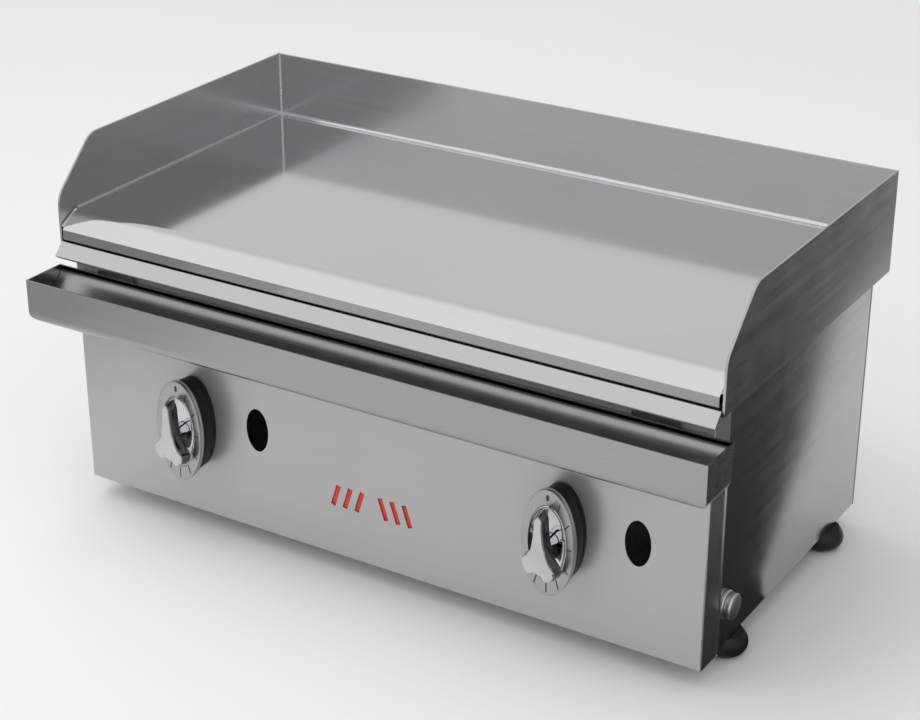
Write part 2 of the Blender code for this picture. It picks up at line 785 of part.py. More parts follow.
def manifold_saddle(side, sign):
    """An upright plate on the base pan that the manifold passes through."""
    x = sign * 0.330
    half_thick = 0.0015
    low_z = CASE_BOTTOM_Z + 2 * CASE_SHEET + 2 * GAP
    low = (x - half_thick, MANIFOLD_Y - SADDLE_HALF_WIDTH, low_z)
    high = (x + half_thick, MANIFOLD_Y + SADDLE_HALF_WIDTH, MANIFOLD_Z + SADDLE_HALF_WIDTH)
    saddle = box(f"{side}_manifold_saddle", low, high, "galvanised")
    where = (x, MANIFOLD_Y, MANIFOLD_Z)
    bore = cylinder(f"cut_saddle_{side}", PIPE_RADIUS + GAP, 0.02, where, TOWARDS_RIGHT, steps=20)
    return boolean(saddle, bore)


def manifold_plug():
    """The round cap at the right end of the manifold, outside the side panel."""
    profile = [
        (0.0, 0.0135),
        (0.0105, 0.0135),
        (0.0130, 0.0120),
        (0.0138, 0.0095),
        (0.0138, 0.0075),
        (0.0110, 0.0065),
        (0.0110, 0.0045),
        (0.0152, 0.0040),
        (0.0152, GAP - 0.001),
        (0.0, GAP - 0.001),
    ]
    place = (SIDE_X, MANIFOLD_Y, MANIFOLD_Z)
    turned("manifold_plug", profile, place, TOWARDS_RIGHT, "chrome", steps=28)


def gas_inlet():
    """The threaded nipple at the left end of the manifold: a hexagon and a thread."""
    start = 0.0012
    hexagon = cylinder("inlet_hex", 0.0155, 0.009, (0, 0, start + 0.0045), steps=6)
    thread = cylinder("inlet_thread", 0.0104, 0.022, (0, 0, start + 0.011), steps=20)
    nipple = joined("gas_inlet_nipple", [hexagon, thread], "brass")
    place = Matrix.Translation((-SIDE_X, MANIFOLD_Y, MANIFOLD_Z)) @ TOWARDS_LEFT
    nipple.matrix_world = place @ Matrix.Translation((0, 0, -0.0022))
    bore = cylinder("cut_inlet_bore", 0.0070, 0.05, (0, 0, 0.01), steps=16)
    bore.matrix_world = nipple.matrix_world
    return boolean(nipple, bore)


def gas_risers():
    for side, sign in SIDES:
        low = MANIFOLD_Z + PIPE_RADIUS + GAP
        high = KNOB_Z - 0.016 - GAP
        middle = (sign * KNOB_X, MANIFOLD_Y, (low + high) / 2)
        cylinder(f"{side}_gas_riser", 0.0060, high - low, middle, finish="galvanised", steps=16)


def feed_tube(side, sign):
    """The bent tube from the back of the valve to the burner's injector."""
    x = sign * KNOB_X
    burner = sign * BURNER_X
    start = PANEL_FRONT_Y + 0.080 + GAP
    corners = [
        (x, start, KNOB_Z),
        (x, start + 0.022, KNOB_Z),
        (burner, start + 0.030, KNOB_Z + 0.030),
        (burner, start + 0.030, BURNER_Z),
        (burner, BURNER_FRONT_Y - 0.013, BURNER_Z),
    ]
    tube(f"{side}_feed_tube", rounded_route(corners, 0.010), 0.0035, "copper_tube")


def injector(side, sign):
    """The hexagonal gas jet at the mouth of the burner."""
    place = (sign * BURNER_X, BURNER_FRONT_Y - 0.0075, BURNER_Z)
    cylinder(f"{side}_injector", 0.0065, 0.010, place, TOWARDS_FRONT, "brass", steps=6)


def burner(side, sign):
    """An H-shaped pipe burner: a mixing tube in the middle and a heating arm at each side."""
    x = sign * BURNER_X
    arm_radius = 0.0125
    middle_y = (BURNER_FRONT_Y + BURNER_BACK_Y) / 2
    spread = 0.085
    mixer_length = 0.085
    mixer_at = (x, BURNER_FRONT_Y + mixer_length / 2, BURNER_Z)
    mixer = cylinder(f"mixer_{side}", 0.0150, mixer_length, mixer_at, TOWARDS_FRONT, steps=16)
    mouth_at = (x, BURNER_FRONT_Y - 0.001, BURNER_Z)
    throat = cylinder(f"throat_{side}", 0.0120, 0.03, mouth_at, TOWARDS_FRONT, steps=16)
    cross_at = (x, BURNER_FRONT_Y + mixer_length - 0.005, BURNER_Z)
    cross = cylinder(f"cross_{side}", 0.0110, 2 * spread, cross_at, TOWARDS_RIGHT, steps=16)
    pieces = [mixer, cross]
    for arm in (-1, 1):
        arm_at = (x + arm * spread, middle_y, BURNER_Z)
        length = BURNER_BACK_Y - BURNER_FRONT_Y
        pieces.append(cylinder(f"arm_{side}_{arm}", arm_radius, length, arm_at, TOWARDS_FRONT, steps=16))
    solid = joined(f"{side}_burner", pieces, "burner_steel")
    throat.name = f"cut_throat_{side}"
    return boolean(solid, throat)


def burner_rail(name, y):
    """A steel angle across the cabinet that the burners lie on."""
    top = BURNER_Z - 0.0153 - GAP
    section = [(y + 0.018, top), (y, top), (y, top - 0.018)]
    half = SIDE_X - CASE_SHEET - GAP * 2
    return bent_sheet(name, section, -half, half, 0.0015, 0.002, "galvanised")


def pilot(side, sign):
    """The small pilot burner below the arm that the sight hole looks at."""
    profile = [
        (0.0, 0.030),
        (0.0055, 0.028),
        (0.0055, 0.020),
        (0.0035, 0.018),
        (0.0035, 0.004),
        (0.0060, 0.003),
        (0.0060, 0.0),
        (0.0, 0.0),
    ]
    x = sign * KNOB_X + SIGHT_OFFSET_X
    turned(f"{side}_pilot", profile, (x, -0.030, 0.148), UPRIGHT, "burner_steel", steps=16)


def thermocouple(side, sign):
    x = sign * KNOB_X + SIGHT_OFFSET_X + 0.014
    cylinder(f"{side}_thermocouple", 0.0025, 0.050, (x, -0.030, 0.160), finish="copper_tube", steps=12)


def pilot_bracket(side, sign):
    """A bent strip fixed under the front burner rail that holds the pilot and thermocouple."""
    x = sign * KNOB_X + SIGHT_OFFSET_X
    seat = 0.148 - GAP
    section = [(-0.0015, 0.201), (-0.0015, seat), (-0.042, seat)]
    name = f"{side}_pilot_bracket"
    bracket = bent_sheet(name, section, x - 0.012, x + 0.024, CASE_SHEET, 0.002, "galvanised")
    where = (x + 0.014, -0.030, 0.148)
    return boolean(bracket, cylinder(f"cut_thermo_{side}", 0.0028, 0.02, where, steps=12))


def gas_train():
    gas_manifold()
    manifold_plug()
    gas_inlet()
    gas_risers()
    for side, sign in SIDES:
        manifold_saddle(side, sign)
        feed_tube(side, sign)
        injector(side, sign)
        burner(side, sign)
        pilot(side, sign)
        thermocouple(side, sign)
        pilot_bracket(side, sign)
    burner_rail("front_burner_rail", 0.000)
    burner_rail("rear_burner_rail", 0.150)


# ---------------------------------------------------------------- assembly


def build():
    griddle_plate()
    rear_splash_wall()
    drip_apron()
    front_panel()
    ornament_backing_plate()
    rear_panel()
    base_pan()
    valve_heat_shield()
    feet()
    grease_tray()
    for side, sign in SIDES:
        side_splash_wall(side, sign)
        side_panel(side, sign)
        tray_support(side, sign)
    controls()
    gas_train()


build()
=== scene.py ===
import math

import bmesh
import bpy
from mathutils import Matrix, Vector


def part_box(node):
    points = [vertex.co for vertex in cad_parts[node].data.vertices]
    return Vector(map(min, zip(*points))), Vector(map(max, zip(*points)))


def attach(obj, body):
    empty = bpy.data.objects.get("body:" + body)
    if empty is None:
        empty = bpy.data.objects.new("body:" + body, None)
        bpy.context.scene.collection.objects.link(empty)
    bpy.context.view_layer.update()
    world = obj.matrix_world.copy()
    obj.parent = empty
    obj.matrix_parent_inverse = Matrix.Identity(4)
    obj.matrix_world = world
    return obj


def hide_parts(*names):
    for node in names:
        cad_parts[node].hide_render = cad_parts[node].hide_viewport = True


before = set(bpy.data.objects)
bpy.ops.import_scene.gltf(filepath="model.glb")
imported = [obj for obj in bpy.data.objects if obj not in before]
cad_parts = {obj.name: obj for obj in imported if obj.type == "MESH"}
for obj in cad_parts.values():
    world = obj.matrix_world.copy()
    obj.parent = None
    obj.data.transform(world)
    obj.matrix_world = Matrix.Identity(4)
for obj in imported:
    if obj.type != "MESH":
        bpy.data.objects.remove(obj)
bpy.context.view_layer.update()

SIDES = (("left", -1), ("right", 1))

# Shared with the CAD, in metres
PANEL_FRONT_Y = -0.172
SIDE_PANEL_X = 0.3845  # outer face of the side panels
KNOB_X = 0.230
KNOB_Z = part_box("left_dial_ring")[0].z / 2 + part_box("left_dial_ring")[1].z / 2
DIAL_HALF_WIDTH = 0.030
DIAL_HALF_HEIGHT = 0.0595
DIAL_FACE = PANEL_FRONT_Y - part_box("left_dial_ring")[0].y  # from the panel to the ring's face
DIAL_RING_THICK = 0.0075
DIAL_SEAT_DEPTH = 0.0073  # of the hollow in the housing, under the ring
SPINDLE_SHARE = 0.18  # of the dial's half width and height, the hole for the spindle
BOWL_SHARE = 0.714  # of the dial's half width and height, the opening of the bowl
GRIP_REACH = 0.0205  # from the face of the dial ring to the top of the grip
PLATE_TOP_Z = 0.3475
PLATE_LIP_BACK_Y = -0.163
PLATE_THICK = 0.012
TRAY_BACK_Y = -0.175
WALL_X = 0.3975  # inner face of the side walls
WALL_Y = 0.2275  # inner face of the rear wall
WALL_TOP_Z = 0.425

TOWARDS_FRONT = Matrix.Rotation(math.radians(90), 4, "X")
TOWARDS_RIGHT = Matrix.Rotation(math.radians(90), 4, "Y")
TOWARDS_BACK = Matrix.Rotation(math.radians(-90), 4, "X")


# ---------------------------------------------------------------- materials


class Finish:
    """A Principled material and the nodes that feed it."""

    def __init__(self, name, colour, metallic, roughness):
        self.material = bpy.data.materials.new(name)
        self.material.use_nodes = True
        self.tree = self.material.node_tree
        self.shader = self.tree.nodes["Principled BSDF"]
        self.colour = colour
        self.shader.inputs["Base Color"].default_value = (*colour, 1.0)
        self.shader.inputs["Metallic"].default_value = metallic
        self.shader.inputs["Roughness"].default_value = roughness
        self.place = self.node("ShaderNodeTexCoord").outputs["Object"]

    def node(self, kind, **settings):
        made = self.tree.nodes.new(kind)
        for key, value in settings.items():
            setattr(made, key, value)
        return made

    def join(self, source, target):
        self.tree.links.new(source, target)

    def noise(self, scale, stretch=(1, 1, 1), detail=3.0, turn=(0, 0, 0)):
        mapping = self.node("ShaderNodeMapping")
        mapping.inputs["Scale"].default_value = stretch
        mapping.inputs["Rotation"].default_value = turn
        self.join(self.place, mapping.inputs["Vector"])
        noise = self.node("ShaderNodeTexNoise")
        noise.inputs["Scale"].default_value = scale
        noise.inputs["Detail"].default_value = detail
        self.join(mapping.outputs["Vector"], noise.inputs["Vector"])
        return noise.outputs["Fac"]

    def remap(self, value, low, high, from_low=0.3, from_high=0.7):
        ranged = self.node("ShaderNodeMapRange")
        ranged.inputs["From Min"].default_value = from_low
        ranged.inputs["From Max"].default_value = from_high
        ranged.inputs["To Min"].default_value = low
        ranged.inputs["To Max"].default_value = high
        self.join(value, ranged.inputs["Value"])
        return ranged.outputs["Result"]

    def maths(self, operation, first, second):
        made = self.node("ShaderNodeMath", operation=operation)
        for socket, value in zip(made.inputs, (first, second)):
            if isinstance(value, (int, float)):
                socket.default_value = value
            else:
                self.join(value, socket)
        return made.outputs["Value"]

    def add(self, first, second):
        return self.maths("ADD", first, second)

    def weigh(self, first, first_share, second, second_share):
        """The sum of two values, each times its share."""
        return self.add(
            self.maths("MULTIPLY", first, first_share),
            self.maths("MULTIPLY", second, second_share),
        )

    def blend(self, factor, first, second):
        mix = self.node("ShaderNodeMix", data_type="RGBA")
        sockets = (mix.inputs[0], mix.inputs[6], mix.inputs[7])
        for socket, value in zip(sockets, (factor, first, second)):
            if isinstance(value, tuple):
                socket.default_value = (*value, 1.0)
            elif isinstance(value, (int, float)):
                socket.default_value = value
            else:
                self.join(value, socket)
        return mix.outputs[2]

    def tint(self, factor, share):
        """Colour that varies by plus or minus share as factor goes from 0 to 1."""
        low = tuple(c * (1 - share) for c in self.colour)
        high = tuple(min(1.0, c * (1 + share)) for c in self.colour)
        return self.blend(factor, low, high)

    def paint(self, colour):
        self.join(colour, self.shader.inputs["Base Color"])

    def gloss(self, roughness):
        self.join(roughness, self.shader.inputs["Roughness"])

    def front_share(self, inside, outside):
        """One value on faces that look to the front, and another elsewhere."""
        facing = self.node("ShaderNodeSeparateXYZ")
        self.join(self.node("ShaderNodeTexCoord").outputs["Normal"], facing.inputs["Vector"])
        return self.remap(facing.outputs["Y"], inside, outside, -0.95, -0.85)

    def dull_front(self, metallic):
        """Less metallic on faces that look to the front, as a hazy brushed face is."""
        self.join(self.front_share(metallic, 1.0), self.shader.inputs["Metallic"])

    def relief(self, height, strength, distance):
        bump = self.node("ShaderNodeBump")
        bump.inputs["Strength"].default_value = strength
        bump.inputs["Distance"].default_value = distance
        self.join(height, bump.inputs["Height"])
        self.join(bump.outputs["Normal"], self.shader.inputs["Normal"])


def brushed(name, colour, roughness, grain, strength=0.05, metallic=1.0):
    """Sheet steel with brush lines along one axis, faint handling marks and soft clouds."""
    finish = Finish(name, colour, 1.0, roughness)
    if metallic < 1.0:
        finish.dull_front(metallic)
    lines = finish.noise(1.0, tuple(8.0 if axis == grain else 1500.0 for axis in "xyz"), 4.0)
    broad = finish.noise(1.0, tuple(1.5 if axis == grain else 60.0 for axis in "xyz"), 2.0)
    clouds = finish.noise(5.0, (1, 1, 1), 3.0)
    marks = finish.noise(24.0, (1, 1, 1), 5.0)
    both = finish.weigh(lines, 0.65, broad, 0.35)
    shade = finish.weigh(both, 0.6, clouds, 0.4)
    finish.paint(finish.tint(finish.remap(shade, 0, 1), 0.05))
    grainy = finish.remap(both, -0.05, 0.05)
    smudged = finish.remap(marks, -0.01, 0.018, 0.45, 0.75)
    finish.gloss(finish.add(finish.add(grainy, smudged), roughness))
    finish.relief(both, strength, 0.00025)
    return finish


def polished_plate():
    """Mirror-ground plate with faint grinding lines, scraper scratches and a soft haze.

    Its front edge, under the lip, is painted darker: painted shade on the faces that look to the
    front.
    """
    finish = Finish("polished_plate_look", (0.70, 0.70, 0.71), 1.0, 0.10)
    lines = finish.noise(1.0, (5, 700, 700), 4.0)
    scratches = finish.noise(1.0, (900, 9, 60), 5.0, (0, 0, math.radians(12)))
    haze = finish.noise(3.5, (1, 1, 1), 3.0)
    fine = finish.remap(scratches, 0, 1, 0.66, 0.78)
    shade = finish.weigh(haze, 0.6, lines, 0.4)
    ground = finish.tint(finish.remap(shade, 0, 1), 0.035)
    # painted shade: faces that look to the front are blended to a flat dark grey
    finish.paint(finish.blend(finish.front_share(1.0, 0.0), ground, (0.33, 0.33, 0.335)))
    base = finish.remap(haze, 0.075, 0.13)
    worn = finish.add(base, finish.maths("MULTIPLY", fine, 0.10))
    finish.gloss(finish.add(worn, finish.remap(lines, -0.015, 0.015)))
    finish.relief(finish.add(lines, fine), 0.02, 0.0001)
    return finish


def plated(name, colour, roughness, scale=60.0):
    """Chrome or bright metal with slight waviness and handling haze."""
    finish = Finish(name, colour, 1.0, roughness)
    haze = finish.noise(scale, (1, 1, 1), 3.0)
    finish.paint(finish.tint(finish.remap(haze, 0, 1), 0.04))
    finish.gloss(finish.remap(haze, max(0.02, roughness - 0.03), roughness + 0.05))
    finish.relief(haze, 0.03, 0.0004)
    return finish


def spun(name, colour, roughness):
    """Turned aluminium with fine speckle."""
    finish = Finish(name, colour, 1.0, roughness)
    grain = finish.noise(1400.0, (1, 1, 1), 3.0)
    clouds = finish.noise(40.0, (1, 1, 1), 2.0)
    shade = finish.weigh(grain, 0.5, clouds, 0.5)
    finish.paint(finish.tint(finish.remap(shade, 0, 1), 0.08))
    finish.gloss(finish.remap(grain, roughness - 0.06, roughness + 0.08))
    finish.relief(grain, 0.10, 0.0001)
    return finish


def moulded(name, colour, roughness, scale, strength, sheen):
    """Moulded plastic or rubber: fine grain, faint dust and worn sheen."""
    finish = Finish(name, colour, 0.0, roughness)
    grain = finish.noise(scale, (1, 1, 1), 4.0)
    dust = finish.noise(35.0, (1, 1, 1), 4.0)
    pale = tuple(c + 0.015 for c in colour)
    finish.paint(finish.blend(finish.remap(dust, 0.0, 0.5, 0.45, 0.8), colour, pale))
    dusty = finish.remap(dust, roughness - 0.04, roughness + 0.10)
    finish.gloss(finish.add(dusty, finish.remap(grain, -0.03, 0.03)))
    finish.relief(grain, strength, 0.0003)
    finish.shader.inputs["Specular IOR Level"].default_value = sheen
    return finish


def enamelled(name, colour):
    """Glossy baked enamel with orange peel and faint clouds."""
    finish = Finish(name, colour, 0.0, 0.38)
    peel = finish.noise(500.0, (1, 1, 1), 2.0)
    clouds = finish.noise(30.0, (1, 1, 1), 3.0)
    finish.paint(finish.tint(finish.remap(clouds, 0, 1), 0.14))
    finish.gloss(finish.remap(clouds, 0.30, 0.46))
    finish.relief(peel, 0.12, 0.0004)
    return finish


def galvanised():
    """Zinc-coated sheet with its crystal spangle."""
    finish = Finish("galvanised_look", (0.50, 0.52, 0.54), 1.0, 0.42)
    cells = finish.node("ShaderNodeTexVoronoi")
    cells.inputs["Scale"].default_value = 110.0
    finish.join(finish.place, cells.inputs["Vector"])
    spangle = finish.node("ShaderNodeSeparateColor")
    finish.join(cells.outputs["Color"], spangle.inputs["Color"])
    clouds = finish.noise(9.0, (1, 1, 1), 4.0)
    shade = finish.weigh(spangle.outputs["Red"], 0.5, clouds, 0.5)
    finish.paint(finish.tint(shade, 0.20))
    finish.gloss(finish.remap(spangle.outputs["Green"], 0.34, 0.52, 0, 1))
    finish.relief(clouds, 0.05, 0.0005)
    return finish


def tarnished(name, colour, dark, roughness):
    """Brass or copper with darker, rougher patches."""
    finish = Finish(name, colour, 1.0, roughness)
    patches = finish.noise(55.0, (1, 1, 1), 6.0)
    lines = finish.noise(900.0, (1, 1, 1), 2.0)
    amount = finish.remap(patches, 0.0, 0.75, 0.45, 0.75)
    finish.paint(finish.blend(amount, colour, dark))
    patchy = finish.remap(patches, roughness - 0.05, roughness + 0.18)
    finish.gloss(finish.add(patchy, finish.remap(lines, -0.03, 0.03)))
    finish.relief(lines, 0.06, 0.0002)
    return finish


def heat_tinted():
    """Burner pipe that has run hot: straw and blue-grey bands and dark grain over dull steel."""
    finish = Finish("burner_steel_look", (0.32, 0.30, 0.28), 1.0, 0.45)
    bands = finish.noise(11.0, (1, 1, 1), 5.0)
    grain = finish.noise(700.0, (1, 1, 1), 3.0)
    blue_grey, straw = (0.30, 0.31, 0.36), (0.36, 0.27, 0.17)
    warm = finish.blend(finish.remap(bands, 0, 1, 0.35, 0.55), blue_grey, straw)
    finish.paint(finish.blend(finish.remap(grain, 0, 0.6), warm, (0.16, 0.14, 0.13)))
    finish.gloss(finish.remap(bands, 0.36, 0.60))
    finish.relief(grain, 0.15, 0.0004)
    return finish


def printed_ink():
    """Black printing ink with worn specks."""
    finish = Finish("dial_ink", (0.015, 0.015, 0.016), 0.0, 0.45)
    grain = finish.noise(900.0, (1, 1, 1), 2.0)
    fresh, worn = (0.012, 0.012, 0.013), (0.05, 0.05, 0.05)
    finish.paint(finish.blend(finish.remap(grain, 0, 0.5), fresh, worn))
    finish.gloss(finish.remap(grain, 0.40, 0.60))
    finish.relief(grain, 0.05, 0.0001)
    return finish


def all_finishes():
    """Every look by its short name."""
    looks = {
        "cabinet_x": brushed("cabinet_steel_look", (0.46, 0.46, 0.467), 0.34, "x", 0.05, 0.62),
        "cabinet_y": brushed("side_steel_look", (0.445, 0.445, 0.452), 0.15, "y"),
        "guard_x": brushed("rear_wall_steel_look", (0.49, 0.49, 0.495), 0.20, "x"),
        "guard_y": brushed("side_wall_steel_look", (0.47, 0.47, 0.475), 0.20, "y"),
        "tray": brushed("tray_steel_look", (0.37, 0.37, 0.377), 0.26, "x"),
        "tray_inside": brushed("tray_inside_look", (0.36, 0.36, 0.365), 0.30, "x"),
        "apron": brushed("apron_steel_look", (0.57, 0.57, 0.578), 0.26, "x"),
        "plate": polished_plate(),
        "chrome": plated("chrome_look", (0.76, 0.76, 0.775), 0.07),
        "dark_chrome": plated("dark_bowl_look", (0.62, 0.62, 0.63), 0.05),
        # painted shade: the grip's flank is the same chrome as its crown, painted much darker
        "shade_painted_chrome": plated("grip_side_painted_shade_look", (0.16, 0.16, 0.165), 0.14),
        "grip_chrome": plated("grip_face_look", (0.56, 0.56, 0.57), 0.12),
        "plug": plated("plug_look", (0.62, 0.62, 0.63), 0.38, 200.0),
        "weld": plated("weld_look", (0.73, 0.73, 0.74), 0.19, 300.0),
        "dull_weld": plated("ground_weld_look", (0.56, 0.56, 0.57), 0.28, 300.0),
        "dial": spun("dial_metal_look", (0.40, 0.40, 0.405), 0.30),
        "black": moulded("black_plastic_look", (0.008, 0.008, 0.009), 0.42, 700.0, 0.06, 0.15),
        "rubber": moulded("rubber_look", (0.010, 0.010, 0.010), 0.36, 500.0, 0.12, 0.30),
        "red": enamelled("red_enamel_look", (0.62, 0.035, 0.02)),
        "zinc": galvanised(),
        "screw": plated("screw_steel_look", (0.56, 0.56, 0.57), 0.24, 400.0),
        "brass": tarnished("brass_look", (0.70, 0.50, 0.21), (0.33, 0.22, 0.10), 0.26),
        "copper": tarnished("copper_look", (0.72, 0.38, 0.24), (0.30, 0.15, 0.10), 0.28),
        "burner": heat_tinted(),
        "ink": printed_ink(),
    }
    return {key: look.material for key, look in looks.items()}


LOOKS = all_finishes()

SLOT_LOOKS = {
    "cabinet_steel": "cabinet_x",
    "guard_steel": "guard_x",
    "tray_steel": "tray",
    "polished_plate": "plate",
    "chrome": "chrome",
    "dial_metal": "dial",
    "black_plastic": "black",
    "dark_gloss": "dark_chrome",
    "red_enamel": "red",
    "galvanised": "zinc",
    "screw_steel": "screw",
    "brass": "brass",
    "copper_tube": "copper",
    "burner_steel": "burner",
    "rubber": "rubber",
}

NODE_LOOKS = {
    "left_side_panel": "cabinet_y",
    "right_side_panel": "cabinet_y",
    "left_splash_wall": "guard_y",
    "right_splash_wall": "guard_y",
    "drip_apron": "apron",
}


def dress_cad():
    """Gives every CAD node its look, by its material slot or by its own name."""
    for name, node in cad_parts.items():
        for place in node.material_slots:
            slot = place.material.name.split(".")[0]
            place.material = LOOKS[NODE_LOOKS.get(name, SLOT_LOOKS[slot])]


# ---------------------------------------------------------------- shapes


def finished_piece(name, bm, look, body, angle=35):
    """A mesh piece with its finish, riding on a body."""
    bmesh.ops.recalc_face_normals(bm, faces=bm.faces)
    mesh = bpy.data.meshes.new(name)
    bm.to_mesh(mesh)
    bm.free()
    mesh.materials.append(LOOKS[look])
    mesh.shade_smooth()
    mesh.set_sharp_from_angle(angle=math.radians(angle))
    piece = bpy.data.objects.new(name, mesh)
    bpy.context.scene.collection.objects.link(piece)
    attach(piece, body)
    return piece


def lathed(profile, place, turn, steps=96):
    """A closed turned solid from (radius, height) points. One at radius 0 closes it on the axis."""
    bm = bmesh.new()
    whole = Matrix.Translation(place) @ turn
    rings = []
    for radius, height in profile:
        if radius < 1e-6:
            rings.append([bm.verts.new(whole @ Vector((0, 0, height)))])
            continue
        ring = []
        for i in range(steps):
            a = 2 * math.pi * i / steps
            point = Vector((radius * math.cos(a), radius * math.sin(a), height))
            ring.append(bm.verts.new(whole @ point))
        rings.append(ring)
    pairs = list(zip(rings, rings[1:]))
    if len(rings[0]) > 1 and len(rings[-1]) > 1:
        pairs.append((rings[-1], rings[0]))
    for low, high in pairs:
        for i in range(steps):
            j = (i + 1) % steps
            corners = [low[i % len(low)], low[j % len(low)]]
            corners += [high[j % len(high)], high[i % len(high)]]
            unique = list(dict.fromkeys(corners))
            if len(unique) > 2:
                bm.faces.new(unique)
    return bm


def arc(centre, radius, start, end, steps):
    """(radius, height) points on an arc, angles in degrees from the outward direction."""
    points = []
    for i in range(steps + 1):
        a = math.radians(start + (end - start) * i / steps)
        points.append((centre[0] + radius * math.cos(a), centre[1] + radius * math.sin(a)))
    return points


def lofted(rings):
    """A closed solid through rings of equally many points, capped at both ends."""
    bm = bmesh.new()
    made = [[bm.verts.new(point) for point in ring] for ring in rings]
    count = len(made[0])
    for low, high in zip(made, made[1:]):
        for i in range(count):
            j = (i + 1) % count
            bm.faces.new((low[i], low[j], high[j], high[i]))
    bm.faces.new(made[0][::-1])
    bm.faces.new(made[-1])
    return bm


def smooth_outline(corners, steps=6):
    """A closed Catmull-Rom curve through the corners."""
    count = len(corners)
    points = []
    for i in range(count):
        p0, p1, p2, p3 = (Vector(corners[(i + k - 1) % count]) for k in range(4))
        for k in range(steps):
            t = k / steps
            a = 2 * p1
            b = (p2 - p0) * t
            c = (2 * p0 - 5 * p1 + 4 * p2 - p3) * t**2
            d = (3 * p1 - p0 - 3 * p2 + p3) * t**3
            points.append((a + b + c + d) / 2)
    return points


# ---------------------------------------------------------------- knobs


def knob_place(sign):
    """On the knob's axis at the panel's face, with height counted forward and y upward."""
    return Matrix.Translation((sign * KNOB_X, PANEL_FRONT_Y, KNOB_Z)) @ TOWARDS_FRONT


def oval_place(sign):
    """On the knob's axis, squeezed so that a radius of 1 is the dial's oval."""
    return knob_place(sign) @ Matrix.Diagonal((DIAL_HALF_WIDTH, DIAL_HALF_HEIGHT, 1.0, 1.0))


def oval_arc(centre, share, depth, start, end, steps):
    """(share of the dial, height) points on an arc that is share across and depth high."""
    points = []
    for i in range(steps + 1):
        a = math.radians(start + (end - start) * i / steps)
        points.append((centre[0] + share * math.cos(a), centre[1] + depth * math.sin(a)))
    return points


def housing(side, sign):
    """The black oval body: rolled front edge, a fine groove near the panel, a seat for the dial."""
    face = DIAL_FACE - DIAL_RING_THICK
    seat = face - DIAL_SEAT_DEPTH
    profile = [(SPINDLE_SHARE, seat), (BOWL_SHARE, seat), (BOWL_SHARE, face), (0.945, face)]
    profile += oval_arc((0.935, face - 0.0015), 0.025, 0.0015, 80, 0, 5)
    profile += [(0.925, 0.0080), (0.913, 0.0074), (0.923, 0.0068)]
    profile += oval_arc((0.900, 0.0023), 0.018, 0.0020, 0, -90, 4)
    profile += [(SPINDLE_SHARE, 0.0003)]
    bm = lathed(profile, Vector(), oval_place(sign))
    piece = finished_piece(f"{side}_dial_body", bm, "black", "root")
    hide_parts(f"{side}_dial_housing")


def dial(side, sign):
    """The deep satin oval ring with eased rims, a shallow step and a groove round its side."""
    low = DIAL_FACE - DIAL_RING_THICK + 0.0003
    high = DIAL_FACE
    ease_share, ease_depth = 0.016, 0.0007
    profile = [(BOWL_SHARE, low), (BOWL_SHARE, high - ease_depth)]
    eased_at = (BOWL_SHARE + ease_share, high - ease_depth)
    profile += oval_arc(eased_at, ease_share, ease_depth, 180, 90, 4)
    profile += [(0.955, high), (0.962, high - 0.00025)]
    profile += oval_arc((0.980, high - 0.0011), 0.020, 0.0009, 90, 0, 4)
    profile += [(1.0, high - 0.0042), (0.988, high - 0.0046), (1.0, high - 0.0050)]
    profile += oval_arc((0.985, low + 0.0008), 0.015, 0.0008, 0, -90, 4)
    bm = lathed(profile, Vector(), oval_place(sign), 128)
    piece = finished_piece(f"{side}_dial_face", bm, "dial", "root", 25)
    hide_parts(f"{side}_dial_ring")


def bowl(side, sign):
    """The chromed dish inside the ring, oval at its rim and round where the grip's stem goes in."""
    place = knob_place(sign)
    floor = DIAL_FACE - 0.0145
    rim = DIAL_FACE - 0.0008
    crest = rim + 0.0002
    crest_share = 0.97
    deep = 0.0095
    round_steps = 96
    dish_steps = 14
    hole = 0.0081
    widest = DIAL_HALF_WIDTH * (BOWL_SHARE - 0.01)
    tallest = DIAL_HALF_HEIGHT * (BOWL_SHARE - 0.01)
    bm = bmesh.new()

    def ring(share, height):
        points = []
        across = hole + (widest - hole) * share
        along = hole + (tallest - hole) * share
        for i in range(round_steps):
            a = 2 * math.pi * i / round_steps
            point = Vector((across * math.cos(a), along * math.sin(a), height))
            points.append(bm.verts.new(place @ point))
        return points

    rings = [ring(1.0, floor), ring(1.0, rim), ring(crest_share, crest)]
    for i in range(1, dish_steps + 1):
        a = math.radians(90 * i / dish_steps)
        rings.append(ring(crest_share * math.cos(a), crest - deep * math.sin(a)))
    rings.append(ring(0.0, floor))
    for low, high in zip(rings, rings[1:] + rings[:1]):
        for i in range(round_steps):
            j = (i + 1) % round_steps
            bm.faces.new((low[i], low[j], high[j], high[i]))
    piece = finished_piece(f"{side}_dial_dish", bm, "dark_chrome", "root")
    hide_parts(f"{side}_dial_bowl")


def grip_outline():
    """The bell's outline on the dial, with its right lower corner hanging a little lower."""
    # (across, up) as shares of the dial's half width and half height
    right = [
        (0.14, 0.60),
        (0.17, 0.42),
        (0.22, 0.20),
        (0.31, 0.00),
        (0.47, -0.15),
        (0.68, -0.27),
        (0.63, -0.41),
        (0.40, -0.51),
        (0.18, -0.45),
    ]
    corners = [(0.0, 0.69)] + right + [(-u, v) for u, v in reversed(right)]
    outline = []
    for u, v in smooth_outline(corners):
        slant = 0.10 * u if v < 0 else 0.0
        outline.append(Vector((u * DIAL_HALF_WIDTH, (v - slant) * DIAL_HALF_HEIGHT)))
    return outline


